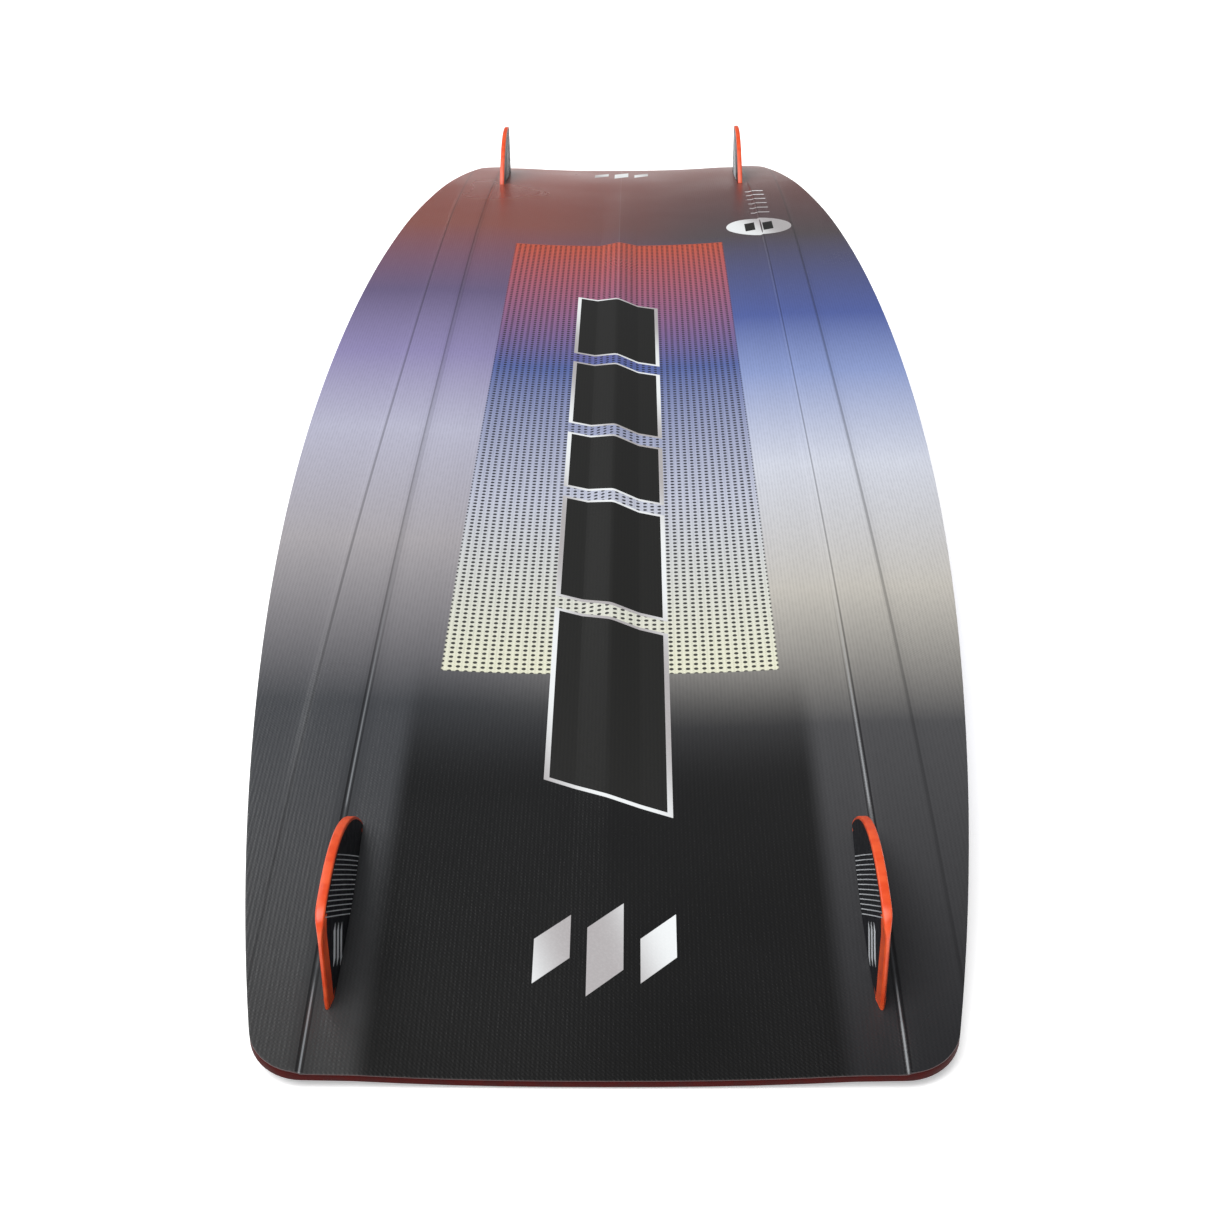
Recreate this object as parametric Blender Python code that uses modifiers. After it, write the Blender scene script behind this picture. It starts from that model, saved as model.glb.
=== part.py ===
"""Twin-tip kiteboard, lying deck side down on its tips, so its running base faces up.

A wood core inside plastic rails is pressed between two glass laminates and two outer
sheets. Four fins are bolted through the board near its corners. The deck side carries
threaded inserts for two foot bindings, and a grab handle on one edge.

Metres, +Z up. X runs across the board, Y along it. The origin is on the floor, under
the middle of the board.
"""
import math

import bmesh
import bpy
from mathutils import Vector

# Outline, seen from above
LENGTH = 1.380
WIDTH = 0.415
TAPER = 0.112            # width lost from the middle to the tip, growing with the square
TIP_TAPER = 0.012        # further width lost, growing with the eighth power
CORNER_RADIUS = 0.025

# Heights along and across the board
ROCKER = 0.0458          # how far the tips lie below the middle of the base
ROCKER_POWER = 3
THICK_MIDDLE = 0.0120
THICK_TIP = 0.0045
EDGE_THINNER = 0.0028    # how much thinner the middle of the board is at CONCAVE_AT
CONCAVE = 0.0031         # rise of the base at CONCAVE_AT from the centre line
CONCAVE_AT = 0.200
SCOOP_HALF = 0.103       # the base is hollowed between two soft edges, this far out
SCOOP_POWER = 2.6        # how flat the floor of the hollow is
SCOOP_MIDDLE = 0.0042
SCOOP_TIP = 0.0024
FOLLOW_MIDDLE = 0.40     # share of the scoop that the deck follows, in the middle
FOLLOW_TIP = 1.0         # and at the tips
SPINE_HEIGHT = 0.0042    # narrow crest down the middle of the scoop
SPINE_HALF = 0.016
SPINE_END = 0.95         # share of the half length at which the crest has faded
SPINE_FADE = 0.75        # share over which it fades
INNER_STEP_AT = 0.126    # channel edge, tip to tip
INNER_STEP_HALF = 0.0015
INNER_STEP = 0.0010
OUTER_STEP_AT = 0.156    # soft fall between |x| 0.153 and 0.159
OUTER_STEP_HALF = 0.003
OUTER_STEP = 0.0008
OUTER_STEP_END = 0.80

# The stack of layers, from either face inwards
SHEET = 0.0005
LAMINATE = 0.0005
LAMINATE_INSET = 0.0005  # the base laminate stops this far short of the outline
DECK_INSET = 0.0012      # the deck sheet stops further in, which leaves a slimmer lower edge
DECK_LAMINATE_INSET = 0.0015
GAP = 0.0003             # clearance between any two pieces
RAIL_WIDTH = 0.012

# Fins
FIN_LENGTH = 0.1130
FIN_HEIGHT = 0.047
FIN_THICK = 0.0042       # round its edge
FIN_BULGE = 0.0013       # how much further each face stands out at the foot, halfway along
FIN_X = 0.1186           # |x| of the fin's middle plane
FIN_START = 0.5445       # |y| of the end towards the middle
FIN_PEAK = 0.098         # along the fin, from that end
FIN_NOSE = 0.0020        # height of the blunt start
FIN_SHOULDER = 0.012     # fall of the edge from the peak to the upright heel
FIN_POINT = 0.008        # length over which the heel narrows
FIN_POINT_SHARE = 0.55   # share of the thickness left at the very end
FIN_ROUND = 0.0008
FIN_SCREWS = (0.030, 0.084)

# Hardware
SCREW_RADIUS = 0.00195
SCREW_GRIP = 0.012       # thread inside the fin
HEAD_RADIUS = 0.0040
HEAD_HEIGHT = 0.0024
SOCKET_RADIUS = 0.0016
SOCKET_DEPTH = 0.0015
WASHER_RADIUS = 0.0065
WASHER_THICK = 0.0010
INSERT_RADIUS = 0.0065
INSERT_BORE = 0.0026
INSERT_LENGTH = 0.0070
INSERT_SUNK = 0.0002
BINDING_X = 0.080
BINDING_Y = (0.240, 0.265, 0.290)

# Grab handle, along the left edge of the deck
HANDLE_X = -0.165
HANDLE_WIDTH = 0.026
HANDLE_HALF_SPAN = 0.098
HANDLE_DROP = 0.036
HANDLE_THICK = 0.008
HANDLE_FOOT = 0.034
HANDLE_FOOT_THICK = 0.005
HANDLE_SCREW_Y = 0.113
HANDLE_SCREW_RADIUS = 0.0022

SCREW_STEPS = 12
HOLE_SIDES = 10
ROW_CELLS = 16
FAR_OUT = 0.22           # the raw slabs reach past the outline, which then trims them


# ---------------------------------------------------------------- shape of the board

def share(y):
    """Distance from the middle as a share of the half length."""
    return abs(2 * y / LENGTH)


def half_width(y):
    s = share(y)
    return (WIDTH - TAPER * s**2 - TIP_TAPER * s**8) / 2


def side_angle(y):
    """Angle by which the side's outward normal leans towards the tip."""
    s = share(y)
    slope = (2 * TAPER * s + 8 * TIP_TAPER * s**7) / LENGTH
    return math.atan(slope)


def fade(s, end, length=0.15):
    """1 inside end, falling smoothly to 0 over the length before it."""
    t = min(max((end - s) / length, 0), 1)
    return t * t * (3 - 2 * t)


def thickness(x, y):
    towards_tip = share(y)**2
    thinner = EDGE_THINNER * (x / CONCAVE_AT)**2 * (1 - towards_tip)
    return THICK_MIDDLE + (THICK_TIP - THICK_MIDDLE) * towards_tip - thinner


def scoop(x, y):
    if abs(x) >= SCOOP_HALF:
        return 0
    depth = SCOOP_MIDDLE + (SCOOP_TIP - SCOOP_MIDDLE) * share(y)
    return depth * (1 - (abs(x) / SCOOP_HALF)**SCOOP_POWER)


def ramp(value, centre, half):
    return min(max((value - centre + half) / (2 * half), 0), 1)


def plain_height(x, y):
    """Rocker and concave, which the base and the deck share, from the middle of the base."""
    return CONCAVE * (x / CONCAVE_AT)**2 - ROCKER * share(y)**ROCKER_POWER


def spine(x, y):
    reach = max(1 - abs(x) / SPINE_HALF, 0)
    return SPINE_HEIGHT * reach * fade(share(y), SPINE_END, SPINE_FADE)


def deck_follow(x, y):
    return (FOLLOW_MIDDLE + (FOLLOW_TIP - FOLLOW_MIDDLE) * share(y)) * scoop(x, y)


RISE = ROCKER + THICK_TIP + FOLLOW_TIP * SCOOP_TIP


def base_height(x, y):
    """The running base."""
    step_in = INNER_STEP * ramp(abs(x), INNER_STEP_AT, INNER_STEP_HALF)
    step_out = OUTER_STEP * ramp(abs(x), OUTER_STEP_AT, OUTER_STEP_HALF)
    step_out *= fade(share(y), OUTER_STEP_END)
    return RISE + plain_height(x, y) - scoop(x, y) + spine(x, y) + step_in - step_out


def deck_height(x, y):
    """The deck, which faces the floor."""
    return RISE + plain_height(x, y) - deck_follow(x, y) - thickness(x, y)


def columns():
    """Where the slabs are divided across the board. The channel edges are among them."""
    inner = (INNER_STEP_AT - INNER_STEP_HALF, INNER_STEP_AT + INNER_STEP_HALF)
    outer = (OUTER_STEP_AT - OUTER_STEP_HALF, OUTER_STEP_AT + OUTER_STEP_HALF)
    scooped = (SPINE_HALF, SCOOP_HALF * 0.5, SCOOP_HALF * 0.8, SCOOP_HALF)
    half = scooped + inner + outer + (FAR_OUT,)
    return [-x for x in reversed(half)] + [0] + list(half)


def rows():
    inside = [LENGTH / 2 * (2 * j / ROW_CELLS - 1) for j in range(ROW_CELLS + 1)]
    return [-LENGTH * 0.52] + inside + [LENGTH * 0.52]


# ---------------------------------------------------------------- helpers

def clear_scene():
    for obj in list(bpy.data.objects):
        bpy.data.objects.remove(obj, do_unlink=True)


def new_collection(name):
    collection = bpy.data.collections.new(name)
    bpy.context.scene.collection.children.link(collection)
    return collection


def material(name, colour, roughness, metallic=0):
    made = bpy.data.materials.new(name)
    made.use_nodes = True
    shader = made.node_tree.nodes["Principled BSDF"]
    shader.inputs["Base Color"].default_value = (*colour, 1)
    shader.inputs["Roughness"].default_value = roughness
    shader.inputs["Metallic"].default_value = metallic
    return made


def add_object(name, mesh, collection, finish=None):
    obj = bpy.data.objects.new(name, mesh)
    collection.objects.link(obj)
    if finish:
        mesh.materials.append(finish)
    return obj


def as_cutter(obj):
    obj.hide_render = True
    obj.display_type = "WIRE"
    return obj


def smooth(obj, angle=math.radians(35)):
    obj.data.shade_smooth()
    obj.data.set_sharp_from_angle(angle=angle)


def combine(obj, tool, operation):
    change = obj.modifiers.new(operation.title(), "BOOLEAN")
    change.operation = operation
    change.solver = "EXACT"
    change.object = tool


def to_mesh(shape, name):
    mesh = bpy.data.meshes.new(name)
    shape.to_mesh(mesh)
    shape.free()
    return mesh


def twin_grid(name, across, along, place, finish):
    """A closed piece on a grid, with two faces. place(a, b, raised) gives each vertex's place."""
    shape = bmesh.new()
    bmesh.ops.create_grid(shape, x_segments=len(across) - 1, y_segments=len(along) - 1, size=1)
    grown = bmesh.ops.extrude_face_region(shape, geom=list(shape.faces), use_keep_orig=True)
    raised = {item for item in grown["geom"] if isinstance(item, bmesh.types.BMVert)}
    for vert in shape.verts:
        a = across[round((vert.co.x + 1) / 2 * (len(across) - 1))]
        b = along[round((vert.co.y + 1) / 2 * (len(along) - 1))]
        vert.co = Vector(place(a, b, vert in raised))
    bmesh.ops.recalc_face_normals(shape, faces=shape.faces)
    return add_object(name, to_mesh(shape, name), PARTS, finish)


def slab(name, upper, lower, finish):
    """A closed slab between two surfaces."""
    def place(x, y, raised):
        surface = upper if raised else lower
        return x, y, surface(x, y)

    return twin_grid(name, columns(), rows(), place, finish)


def flat_outline(name, points, depth, collection, finish=None):
    """A closed outline in the XY plane, extruded to depth about it, as a welded mesh."""
    curve = bpy.data.curves.new(name, "CURVE")
    curve.dimensions = "2D"
    curve.fill_mode = "BOTH"
    curve.extrude = depth / 2
    spline = curve.splines.new("POLY")
    spline.points.add(len(points) - 1)
    for point, (a, b) in zip(spline.points, points):
        point.co = (a, b, 0, 1)
    spline.use_cyclic_u = True
    drawn = bpy.data.objects.new(name + "_outline", curve)
    bpy.context.scene.collection.objects.link(drawn)
    bpy.context.view_layer.update()
    evaluated = drawn.evaluated_get(bpy.context.evaluated_depsgraph_get())
    mesh = bpy.data.meshes.new_from_object(evaluated)
    bpy.data.objects.remove(drawn, do_unlink=True)
    shape = bmesh.new()
    shape.from_mesh(mesh)
    bmesh.ops.remove_doubles(shape, verts=shape.verts, dist=0.00001)
    bmesh.ops.recalc_face_normals(shape, faces=shape.faces)
    bpy.data.meshes.remove(mesh)
    return add_object(name, to_mesh(shape, name), collection, finish)


def turned(name, profile, finish, collection):
    """A profile of (radius, height) pairs, outer side from the top down, turned about Z."""
    mesh = bpy.data.meshes.new(name)
    edges = [(i, i + 1) for i in range(len(profile) - 1)]
    mesh.from_pydata([(radius, 0, z) for radius, z in profile], edges, [])
    obj = add_object(name, mesh, collection, finish)
    turn = obj.modifiers.new("Turn", "SCREW")
    turn.steps = SCREW_STEPS
    turn.render_steps = SCREW_STEPS
    turn.use_merge_vertices = True
    turn.merge_threshold = 0.00001
    turn.use_smooth_shade = True
    return obj


def post(name, radius, low, high, x, y):
    """An upright round cutter, whose flat sides touch the stated radius."""
    corner = radius / math.cos(math.pi / HOLE_SIDES)
    shape = bmesh.new()
    bmesh.ops.create_cone(shape, cap_ends=True, segments=HOLE_SIDES, radius1=corner,
                          radius2=corner, depth=high - low)
    obj = add_object(name, to_mesh(shape, name), CUTTERS)
    obj.location = (x, y, (low + high) / 2)
    return as_cutter(obj)


def block(name, size, centre):
    """An upright box, for trimming."""
    shape = bmesh.new()
    bmesh.ops.create_cube(shape, size=1)
    bmesh.ops.scale(shape, vec=size, verts=shape.verts)
    obj = add_object(name, to_mesh(shape, name), CUTTERS)
    obj.location = centre
    return as_cutter(obj)


# ---------------------------------------------------------------- board

def corner_start():
    """The y at which the side runs smoothly into the corner's arc."""
    y = LENGTH / 2 - CORNER_RADIUS
    for _ in range(8):
        y = LENGTH / 2 - CORNER_RADIUS * (1 - math.sin(side_angle(y)))
    return y


def outline_points(inset):
    """The plan outline, moved in by inset. Long sides and rounded corners follow formulas."""
    arc_start = corner_start()
    lean = side_angle(arc_start)
    corner_x = half_width(arc_start) - CORNER_RADIUS * math.cos(lean)
    corner_y = LENGTH / 2 - CORNER_RADIUS
    radius = CORNER_RADIUS - inset
    side_steps = 9
    quarter = []
    for i in range(side_steps):
        y = arc_start * i / side_steps
        angle = side_angle(y)
        quarter.append((half_width(y) - inset * math.cos(angle), y - inset * math.sin(angle)))
    for i in range(6):
        angle = lean + (math.pi / 2 - lean) * i / 5
        quarter.append((corner_x + radius * math.cos(angle), corner_y + radius * math.sin(angle)))
    right = [(x, -y) for x, y in reversed(quarter[1:])] + quarter
    return right + [(-x, y) for x, y in reversed(right)]


def prism(inset):
    """An upright prism with the board's outline, for trimming."""
    trim = flat_outline(f"outline_in_{inset * 1000:.1f}", outline_points(inset), 0.4, CUTTERS)
    return as_cutter(trim)


def below_base(depth):
    return lambda x, y: base_height(x, y) - depth


def above_deck(depth):
    return lambda x, y: deck_height(x, y) + depth


def board_layers():
    """The sheets, laminates, core and rails, trimmed to the outline. Returns them by name."""
    full = prism(0)
    core_trim = prism(RAIL_WIDTH + GAP)
    rail_trim = prism(RAIL_WIDTH)
    lam_top = SHEET + GAP
    core_top = lam_top + LAMINATE + GAP
    core = (below_base(core_top), above_deck(core_top))
    layers = {
        "base_sheet": slab("base_sheet", below_base(0), below_base(SHEET), PRINTED),
        "bottom_laminate": slab("bottom_laminate", below_base(lam_top),
                                below_base(lam_top + LAMINATE), GLASS),
        "wood_core": slab("wood_core", *core, WOOD),
        "top_laminate": slab("top_laminate", above_deck(lam_top + LAMINATE),
                             above_deck(lam_top), GLASS),
        "top_sheet": slab("top_sheet", above_deck(SHEET), above_deck(0), PRINTED),
    }
    trims = {
        "wood_core": core_trim,
        "bottom_laminate": prism(LAMINATE_INSET),
        "top_laminate": prism(DECK_LAMINATE_INSET),
        "top_sheet": prism(DECK_INSET),
    }
    for name, layer in layers.items():
        combine(layer, trims.get(name, full), "INTERSECT")
    for name, side in (("rail_left", -1), ("rail_right", 1)):
        rail = slab(name, *core, RAIL)
        keep = block(name + "_side", (0.3, 2, 0.4), (side * (0.15 + GAP / 2), 0, 0))
        combine(rail, full, "INTERSECT")
        combine(rail, rail_trim, "DIFFERENCE")
        combine(rail, keep, "INTERSECT")
        layers[name] = rail
    return layers


def cut_all(layers, names, tool):
    for name in names:
        combine(layers[name], tool, "DIFFERENCE")


# ---------------------------------------------------------------- fins

def fin_height(u):
    """Height of the fin's edge above the base, at u along it."""
    if u <= FIN_PEAK:
        rise = FIN_HEIGHT * (1 - (1 - u / FIN_PEAK)**2.2)**0.9
        return max(rise, FIN_NOSE)
    across = min((u - FIN_PEAK) / (FIN_LENGTH - FIN_PEAK), 1)
    return FIN_HEIGHT - FIN_SHOULDER * (1 - math.sqrt(1 - across**3))


def fin_half_thickness(u, up):
    """Half the thickness, at u along the fin and a share up of its height."""
    middle = 4 * u * (FIN_LENGTH - u) / FIN_LENGTH**2
    towards_end = max(1 - (FIN_LENGTH - u) / FIN_POINT, 0)
    narrowing = 1 - (1 - FIN_POINT_SHARE) * towards_end**2
    return FIN_THICK / 2 * narrowing + FIN_BULGE * middle * (1 - up**2)


def fin_stations():
    """Places along the fin, close together where its edge turns."""
    nose_steps = 12
    nose = [FIN_PEAK * (i / nose_steps)**1.5 for i in range(nose_steps + 1)]
    reach = FIN_LENGTH - FIN_PEAK
    tail = [FIN_PEAK + reach * part for part in (0.45, 0.72, 0.9, 1)]
    return nose + tail


def make_fin(name, end, side):
    """A moulded fin, upright along the board, with rounded edges and faces that bulge."""
    def place(u, up, raised):
        y = end * (FIN_START + u)
        foot = base_height(FIN_X + FIN_THICK / 2 + FIN_BULGE, y) + GAP
        outwards = 1 if raised else -1
        x = FIN_X + outwards * fin_half_thickness(u, up)
        return side * x, y, foot + up * fin_height(u)

    fin = twin_grid(name, fin_stations(), (0, 1 / 3, 2 / 3, 1), place, FIN)
    rounding = fin.modifiers.new("Round", "BEVEL")
    rounding.width = FIN_ROUND
    rounding.segments = 1
    rounding.limit_method = "ANGLE"
    rounding.angle_limit = math.radians(50)
    smooth(fin)
    return fin


def screw_profile(length, radius, head_radius=HEAD_RADIUS):
    """Tip at the top, because the screws are driven upwards from the deck."""
    return [
        (0, length),
        (radius * 0.7, length),
        (radius, length - radius * 0.4),
        (radius, 0),
        (head_radius, 0),
        (head_radius, -HEAD_HEIGHT * 0.5),
        (head_radius * 0.75, -HEAD_HEIGHT),
        (SOCKET_RADIUS, -HEAD_HEIGHT),
        (SOCKET_RADIUS, -HEAD_HEIGHT + SOCKET_DEPTH),
        (0, -HEAD_HEIGHT + SOCKET_DEPTH),
    ]


def washer_profile(bore):
    return [
        (bore, WASHER_THICK),
        (WASHER_RADIUS * 0.85, WASHER_THICK),
        (WASHER_RADIUS, WASHER_THICK * 0.6),
        (WASHER_RADIUS, 0),
        (bore, 0),
        (bore, WASHER_THICK),
    ]


def fasten(label, length, radius, x, y, seat):
    """A screw and its washer under the deck. seat is the height that the washer meets."""
    washer = turned(f"{label}_washer", washer_profile(radius + GAP), STEEL, PARTS)
    washer.location = (x, y, seat - GAP - WASHER_THICK)
    head_at = seat - 2 * GAP - WASHER_THICK
    screw = turned(f"{label}_screw", screw_profile(length, radius), STEEL, PARTS)
    screw.location = (x, y, head_at)


def lowest_deck(x, y, radius):
    """The lowest point of the deck within radius, where a flat washer would touch."""
    around = [(x + a * radius, y + b * radius) for a in (-1, 0, 1) for b in (-1, 0, 1)]
    return min(deck_height(*place) for place in around)


def fins_and_screws(layers):
    everything = ("base_sheet", "bottom_laminate", "wood_core", "top_laminate", "top_sheet")
    for end, end_name in ((-1, "near"), (1, "far")):
        for side, side_name in ((-1, "left"), (1, "right")):
            label = f"fin_{end_name}_{side_name}"
            fin = make_fin(label, end, side)
            x = side * FIN_X
            for number, along in enumerate(FIN_SCREWS, start=1):
                y = end * (FIN_START + along)
                seat = lowest_deck(x, y, WASHER_RADIUS)
                top = base_height(x, y) + SCREW_GRIP
                hole = post(f"{label}_hole_{number}", SCREW_RADIUS + GAP, -0.1, top + GAP * 2,
                            x, y)
                cut_all(layers, everything, hole)
                combine(fin, hole, "DIFFERENCE")
                length = top - seat + 2 * GAP + WASHER_THICK
                fasten(f"{label}_{number}", length, SCREW_RADIUS, x, y, seat)


# ---------------------------------------------------------------- deck hardware

def insert_profile():
    """A blind threaded bush with its mouth at the bottom."""
    return [
        (0, INSERT_LENGTH),
        (INSERT_RADIUS, INSERT_LENGTH),
        (INSERT_RADIUS, 0),
        (INSERT_BORE, 0),
        (INSERT_BORE, INSERT_LENGTH * 0.85),
        (0, INSERT_LENGTH * 0.85),
    ]


def make_insert(layers, name, x, y):
    mouth = deck_height(x, y) + INSERT_SUNK
    insert = turned(name, insert_profile(), BRASS, PARTS)
    insert.location = (x, y, mouth)
    pocket = post(name + "_pocket", INSERT_RADIUS + GAP, -0.1, mouth + INSERT_LENGTH + GAP, x, y)
    cut_all(layers, ("wood_core", "top_laminate", "top_sheet"), pocket)
    return mouth


def binding_inserts(layers):
    for end, end_name in ((-1, "near"), (1, "far")):
        for side, side_name in ((-1, "left"), (1, "right")):
            for number, along in enumerate(BINDING_Y, start=1):
                name = f"binding_insert_{end_name}_{side_name}_{number}"
                make_insert(layers, name, side * BINDING_X, end * along)


def handle_profile():
    """The handle from the side, as (y, drop below its feet) points."""
    steps = 10
    outer = []
    inner = []
    inner_span = HANDLE_HALF_SPAN - HANDLE_THICK
    for i in range(steps + 1):
        angle = math.pi * i / steps
        swing = math.copysign(abs(math.cos(angle))**0.65, math.cos(angle))
        fall = math.sin(angle)**0.75
        outer.append((HANDLE_HALF_SPAN * swing, -HANDLE_DROP * fall))
        inner.append((inner_span * swing, -(HANDLE_DROP - HANDLE_THICK) * fall))
    foot_end = HANDLE_HALF_SPAN + HANDLE_FOOT
    foot = [(foot_end, 0), (foot_end, -HANDLE_FOOT_THICK)]
    outer[0] = (HANDLE_HALF_SPAN + 0.002, -HANDLE_FOOT_THICK)
    outer[-1] = (-HANDLE_HALF_SPAN - 0.002, -HANDLE_FOOT_THICK)
    far_foot = [(-a, b) for a, b in reversed(foot)]
    return list(reversed(inner)) + foot + outer + far_foot


def grab_handle(layers):
    edge = abs(HANDLE_X) - HANDLE_WIDTH / 2
    seat = min(deck_height(edge, HANDLE_HALF_SPAN + HANDLE_FOOT), deck_height(edge, 0)) - GAP
    handle = flat_outline("grab_handle", handle_profile(), HANDLE_WIDTH, PARTS, FOAM)
    handle.rotation_euler = (math.pi / 2, 0, math.pi / 2)
    handle.location = (HANDLE_X, 0, seat)
    rounding = handle.modifiers.new("Round", "BEVEL")
    rounding.width = 0.002
    rounding.segments = 2
    rounding.limit_method = "ANGLE"
    rounding.angle_limit = math.radians(60)
    smooth(handle)
    for end, name in ((-1, "near"), (1, "far")):
        y = end * HANDLE_SCREW_Y
        mouth = make_insert(layers, f"handle_insert_{name}", HANDLE_X, y)
        hole = post(f"handle_hole_{name}", HANDLE_SCREW_RADIUS + GAP, -0.1, 0.1, HANDLE_X, y)
        combine(handle, hole, "DIFFERENCE")
        foot = seat - HANDLE_FOOT_THICK
        length = mouth + INSERT_LENGTH * 0.7 - foot + 2 * GAP + WASHER_THICK
        fasten(f"handle_{name}", length, HANDLE_SCREW_RADIUS, HANDLE_X, y, foot)


# ---------------------------------------------------------------- build

clear_scene()
PARTS = new_collection("twin_tip_kiteboard")
CUTTERS = new_collection("cutters")

PRINTED = material("printed sheet", (0.045, 0.046, 0.052), 0.38)
GLASS = material("glass laminate", (0.62, 0.66, 0.58), 0.30)
WOOD = material("paulownia core", (0.62, 0.45, 0.27), 0.60)
RAIL = material("red ABS rail", (0.16, 0.012, 0.012), 0.45)
FIN = material("fin", (0.85, 0.11, 0.02), 0.42)
STEEL = material("stainless steel", (0.62, 0.62, 0.63), 0.28, 1)
BRASS = material("insert", (0.68, 0.60, 0.45), 0.35, 1)
FOAM = material("moulded handle", (0.03, 0.03, 0.033), 0.70)

board = board_layers()
fins_and_screws(board)
binding_inserts(board)
grab_handle(board)
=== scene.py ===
"""A twin-tip kiteboard, base up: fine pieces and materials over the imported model.

The board's two skins, its rails, fins, hardware and handle are rebuilt here from the same
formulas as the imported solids, with finer meshes. The core and the laminates stay as packed.
"""
import math

import bmesh
import bpy
from mathutils import Matrix, Vector


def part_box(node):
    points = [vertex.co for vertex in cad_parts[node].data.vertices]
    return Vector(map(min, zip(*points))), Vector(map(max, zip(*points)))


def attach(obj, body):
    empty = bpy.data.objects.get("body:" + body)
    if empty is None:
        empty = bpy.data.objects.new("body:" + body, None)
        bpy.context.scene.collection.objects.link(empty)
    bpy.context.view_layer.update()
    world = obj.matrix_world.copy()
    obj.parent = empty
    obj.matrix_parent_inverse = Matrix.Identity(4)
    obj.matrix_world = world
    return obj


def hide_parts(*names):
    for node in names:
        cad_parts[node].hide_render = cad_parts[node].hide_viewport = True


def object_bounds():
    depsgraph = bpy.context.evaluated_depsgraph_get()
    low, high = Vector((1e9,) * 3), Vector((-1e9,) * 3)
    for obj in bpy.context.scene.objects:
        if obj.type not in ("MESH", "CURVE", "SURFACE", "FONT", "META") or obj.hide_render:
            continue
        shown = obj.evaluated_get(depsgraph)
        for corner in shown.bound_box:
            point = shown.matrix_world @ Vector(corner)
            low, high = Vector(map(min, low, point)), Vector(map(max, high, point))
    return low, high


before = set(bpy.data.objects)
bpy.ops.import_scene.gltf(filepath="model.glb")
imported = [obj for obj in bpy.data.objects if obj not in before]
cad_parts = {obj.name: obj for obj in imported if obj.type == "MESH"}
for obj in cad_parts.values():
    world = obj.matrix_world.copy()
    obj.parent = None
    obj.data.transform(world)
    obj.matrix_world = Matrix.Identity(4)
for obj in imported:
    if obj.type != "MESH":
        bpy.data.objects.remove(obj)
CAD_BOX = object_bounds()
BASE_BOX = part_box("base_sheet")

# ---------------------------------------------------------------- sizes, in metres

# Outline
LENGTH = BASE_BOX[1].y - BASE_BOX[0].y
WIDTH = BASE_BOX[1].x - BASE_BOX[0].x
HALF_LENGTH = LENGTH / 2
TAPER = 0.112
TIP_TAPER = 0.012
CORNER_RADIUS = 0.025

# Heights along and across the board
ROCKER = 0.0458
THICK_MIDDLE = 0.0120
THICK_TIP = 0.0045
EDGE_THINNER = 0.0028
CONCAVE = 0.0031
CONCAVE_AT = 0.200
SCOOP_HALF = 0.103
SCOOP_POWER = 2.6
SCOOP_MIDDLE = 0.0042
SCOOP_TIP = 0.0024
SCOOP_SOFT = 0.0003      # how far the scoop's edge is rounded off
FOLLOW_MIDDLE = 0.40
FOLLOW_TIP = 1.0
SPINE_HEIGHT = 0.0042
SPINE_HALF = 0.016
SPINE_SOFT = 0.08        # rounding of the crest, as a share of its half width
SPINE_END = 0.95
SPINE_FADE = 0.75
INNER_STEP_AT = 0.126
INNER_STEP_HALF = 0.0008
INNER_STEP = 0.0010
OUTER_STEP_AT = 0.156
OUTER_STEP_HALF = 0.003
OUTER_STEP = 0.0008
OUTER_STEP_END = 0.80
RIM_WIDTH = 0.0175       # the base falls away slightly outside a soft line by the rail
RIM_DROP = 0.0004
RIM_END = 0.56

# Layers
SHEET = 0.0005
LAMINATE = 0.0005
GAP = 0.0003
DECK_INSET = 0.0012      # the deck sheet stops this far short of the outline
DECK_LIFT = 0.0001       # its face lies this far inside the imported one
EDGE_ROUND = 0.0008
EDGE_DROP = 0.00006
RAIL_WIDTH = 0.012
RAIL_LIP = 0.00045
RAIL_LOW_LIP = 0.00110
RAIL_CHAMFER = 0.0010

# Fins
FIN_LENGTH = 0.1130
FIN_HEIGHT = 0.047
FIN_THICK = 0.0042
FIN_BULGE = 0.0013
FIN_X = 0.1186
FIN_START = 0.5445
FIN_PEAK = 0.098
FIN_SHOULDER = 0.012
FIN_POINT = 0.008        # length over which the foot of the heel narrows to a point
FIN_ROUND = 0.0007
FACE_INSET = 0.0006      # the printed faces lie inside the orange edge, and a step lower
FACE_STEP = 0.00012
FACE_END = 0.1045        # where they stop, short of the heel
FIN_NARROW = 0.75        # share of the thickness lost at the heel
NOSE_CELLS = 40
SHOULDER_CELLS = 12
HEEL_CELLS = 7
FIN_MARK = (0.0902, 0.0132)     # middle of three plain bars, beyond the stripes
FIN_MARK_WIDTH = 0.0050
FIN_MARK_SHADE = 0.85
FIN_MARK_GAP = (0.0062, 0.0058)
FIN_MARK_RUN = (0.0038, -0.0060)
STRIPES = 13
STRIPE_GAP = 0.0030
STRIPE_WIDTH = 0.00065
STRIPE_START = 0.0228
STRIPE_LEAN = 1.10       # run along the fin for each unit of rise
STRIPE_MARGIN = 0.0028   # left clear below the fin's edge
STRIPE_STEP = 0.0005
STRIPE_SHADES = (1.0, 0.4)

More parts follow.
